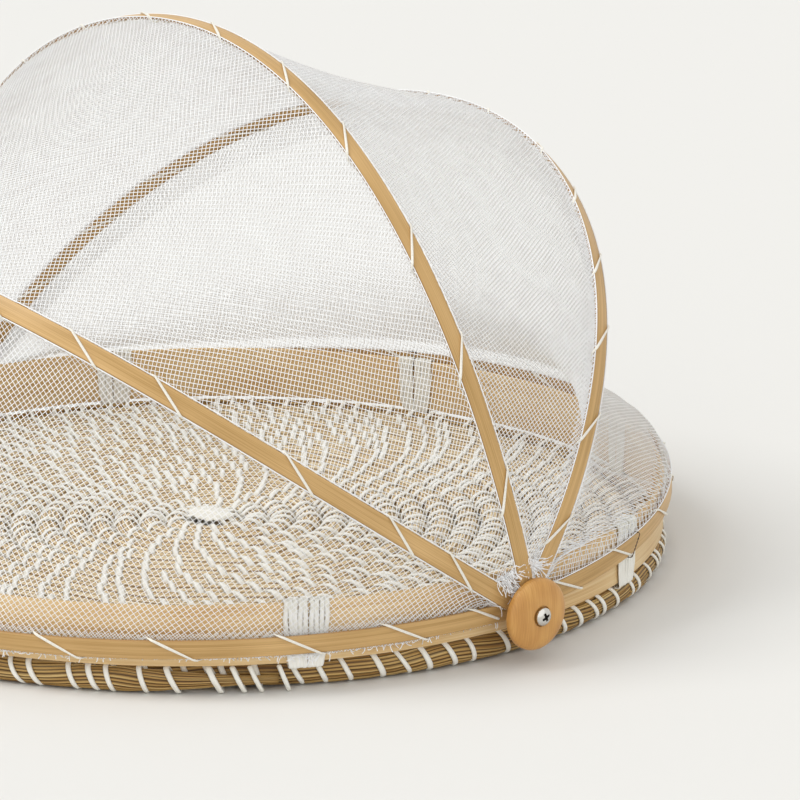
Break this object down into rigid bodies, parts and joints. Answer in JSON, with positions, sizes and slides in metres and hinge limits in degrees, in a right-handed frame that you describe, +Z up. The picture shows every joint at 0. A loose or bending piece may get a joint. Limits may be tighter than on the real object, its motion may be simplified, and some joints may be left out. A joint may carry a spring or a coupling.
{
  "type": "round food cover",
  "caption": "Round coiled grass tray with a bamboo rim and a folding net canopy on hinged bamboo hoops that keeps insects off food.",
  "frame": {"origin": "on the table under the middle of the mat, at the bottom centre of the bounding box", "axes": "+Z up, +X along the hoops' pivot axis to the right knob, -Y to the front, where the lip hoop closes on the tray"},
  "size_m": [0.4826, 0.4513, 0.2557],
  "materials": {
    "grass_coil": "dry natural grass straws in a coiled bundle",
    "raffia": "matte flat white raffia strips",
    "bamboo_band": "split bamboo, light and satin",
    "bamboo_hoop": "split bamboo strip, honey brown and satin",
    "cotton_cord": "matte cotton thread",
    "net": "open white knitted net",
    "turned_wood": "turned and lacquered light wood",
    "screw_steel": "bright nickel plated steel",
    "binding_wire": "dark annealed iron wire"
  },
  "bodies": {
    "tray": {"coiled_mat": "grass_coil", "mat_stitching": "raffia", "rim_band": "bamboo_band", "rim_lashing_1": "raffia", "rim_lashing_2": "raffia", "rim_lashing_3": "raffia", "rim_lashing_4": "raffia", "rim_lashing_5": "raffia", "rim_lashing_6": "raffia", "rim_lashing_7": "raffia", "rim_lashing_8": "raffia", "rear_hoop": "bamboo_hoop", "rear_cord": "cotton_cord", "rear_hoop_tie_1": "binding_wire", "rear_hoop_tie_2": "binding_wire", "rear_hoop_tie_3": "binding_wire", "rear_hoop_tie_4": "binding_wire", "right_knob": "turned_wood", "right_screw": "screw_steel", "right_washer": "screw_steel", "right_nut": "screw_steel", "left_knob": "turned_wood", "left_screw": "screw_steel", "left_washer": "screw_steel", "left_nut": "screw_steel"},
    "back_frame": {"back_hoop": "bamboo_hoop", "back_cord": "cotton_cord", "rear_net": "net"},
    "crown_frame": {"crown_hoop": "bamboo_hoop", "crown_cord": "cotton_cord", "crown_back_net": "net"},
    "front_frame": {"front_hoop": "bamboo_hoop", "front_cord": "cotton_cord", "crown_front_net": "net"},
    "lip_frame": {"lip_hoop": "bamboo_hoop", "lip_cord": "cotton_cord", "front_net": "net"}
  },
  "joints": [
    {"name": "back_hinge", "type": "hinge", "parent": "tray", "child": "back_frame", "pos_m": [0, 0, 0.0228], "axis": [-1, 0, 0], "range_deg": [0, 42], "deforming": ["rear_net"]},
    {"name": "crown_hinge", "type": "hinge", "parent": "back_frame", "child": "crown_frame", "pos_m": [0, 0, 0.0228], "axis": [-1, 0, 0], "range_deg": [0, 41], "deforming": ["crown_back_net"]},
    {"name": "front_hinge", "type": "hinge", "parent": "crown_frame", "child": "front_frame", "pos_m": [0, 0, 0.0228], "axis": [-1, 0, 0], "range_deg": [0, 37], "deforming": ["crown_front_net"]},
    {"name": "lip_hinge", "type": "hinge", "parent": "front_frame", "child": "lip_frame", "pos_m": [0, 0, 0.0228], "axis": [-1, 0, 0], "range_deg": [0, 28], "deforming": ["front_net"]}
  ]
}
